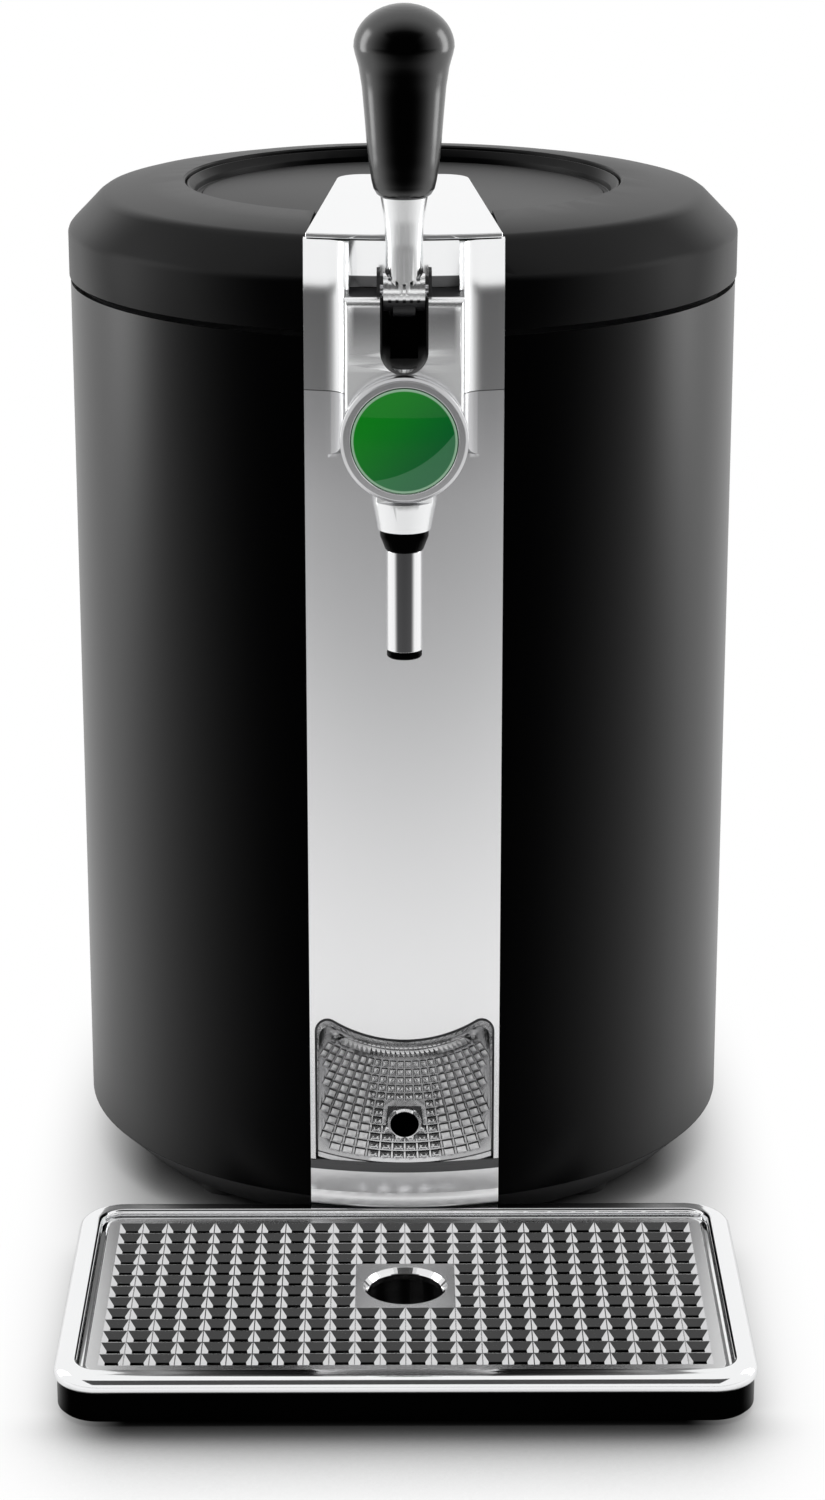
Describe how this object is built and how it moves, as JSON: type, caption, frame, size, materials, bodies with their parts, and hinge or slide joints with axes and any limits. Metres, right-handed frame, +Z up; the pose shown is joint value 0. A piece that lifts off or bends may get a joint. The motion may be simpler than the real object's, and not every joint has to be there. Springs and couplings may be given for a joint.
{
  "type": "mini keg beer dispenser",
  "caption": "Countertop mini keg beer dispenser: insulated cylinder with hinged lid, lever tap on a metal column and removable drip tray.",
  "frame": {"origin": "middle of the footprint on the table; the casing's axis stands 68 mm behind it", "axes": "+Z up, the tap and the drip tray face -Y, +X to the right seen from the front"},
  "size_m": [0.266, 0.428, 0.488],
  "materials": {
    "base_plastic": "fine grained black plastic",
    "rubber": "black rubber",
    "steel_screw": "zinc plated steel",
    "casing_black": "satin black",
    "panel_black": "fine grained black plastic",
    "inlet_black": "black plastic",
    "contact_metal": "nickel plated brass",
    "rocker_red": "red plastic",
    "chassis_grey": "grey plastic",
    "foam": "closed cell insulating foam",
    "aluminium": "drawn aluminium",
    "ceramic_white": "white ceramic",
    "circuit_green": "green circuit board",
    "deck_grey": "dark grey plastic",
    "satin_metal": "satin metal with polished edges",
    "chrome": "polished chrome",
    "stainless": "polished stainless steel",
    "slot_black": "black plastic",
    "badge_green": "clear coated green",
    "gloss_black": "glossy black plastic",
    "pin_steel": "ground steel",
    "lid_black": "fine grained matte black",
    "liner_grey": "light grey plastic",
    "trough_black": "satin black plastic"
  },
  "bodies": {
    "body": {"base_pan": "base_plastic", "base_feet": "rubber", "base_screws": "steel_screw", "casing_shell": "casing_black", "rear_panel": "panel_black", "power_inlet": "inlet_black", "inlet_pins": "contact_metal", "switch_frame": "inlet_black", "chassis_ring": "chassis_grey", "insulation_ring": "foam", "cooling_drum": "aluminium", "cold_block": "aluminium", "thermoelectric_module": "ceramic_white", "heat_sink": "aluminium", "fan_frame": "panel_black", "control_board": "circuit_green", "top_deck": "deck_grey", "deck_gasket": "rubber", "column_panel": "satin_metal", "niche_housing": "panel_black", "splash_grid": "stainless", "column_foot": "chrome", "tap_tower": "chrome", "tap_head": "chrome", "slot_liner": "slot_black", "badge_ring": "satin_metal", "badge_lens": "badge_green", "spout_collar": "slot_black", "spout_tube": "chrome", "spout_tip": "slot_black", "lever_pin": "pin_steel", "hinge_bracket": "panel_black", "hinge_pin": "pin_steel"},
    "lid": {"hinge_arm": "panel_black", "lid_shell": "lid_black", "lid_insert": "lid_black", "lid_liner": "liner_grey", "lid_foam": "foam", "top_plate": "chrome"},
    "lever": {"lever_stem": "chrome", "lever_knob": "gloss_black"},
    "pinch": {"pinch_jaw": "slot_black"},
    "fan": {"fan_rotor": "chassis_grey"},
    "rocker": {"power_rocker": "rocker_red"},
    "tray": {"drip_tray": "trough_black", "tray_pads": "rubber", "tray_rim": "chrome"},
    "grid": {"drip_grid": "stainless"}
  },
  "joints": [
    {"name": "lid_hinge", "type": "hinge", "parent": "body", "child": "lid", "pos_m": [0, 0.208, 0.373], "axis": [-1, 0, 0], "range_deg": [0, 88]},
    {"name": "lever_pull", "type": "hinge", "parent": "body", "child": "lever", "pos_m": [0, -0.083, 0.3858], "axis": [1, 0, 0], "range_deg": [0, 45]},
    {"name": "pinch_slide", "type": "slide", "parent": "body", "child": "pinch", "axis": [0, 1, 0], "range_m": [0, 0.0028]},
    {"name": "fan_spin", "type": "hinge", "parent": "body", "child": "fan", "pos_m": [0, 0.068, 0.02], "axis": [0, 0, 1], "continuous": true},
    {"name": "power_switch", "type": "hinge", "parent": "body", "child": "rocker", "pos_m": [-0.04, 0.186, 0.0517], "axis": [1, 0, 0], "range_deg": [0, 16]},
    {"name": "tray_slide", "type": "slide", "parent": "body", "child": "tray", "axis": [0, -1, 0], "range_m": [0, 0.16]},
    {"name": "grid_lift", "type": "slide", "parent": "tray", "child": "grid", "axis": [0, 0, 1], "range_m": [0, 0.06]}
  ],
  "couplings": [
    {"joint": "pinch_slide", "follows": "lever_pull", "m_per_rad": 0.0035}
  ]
}
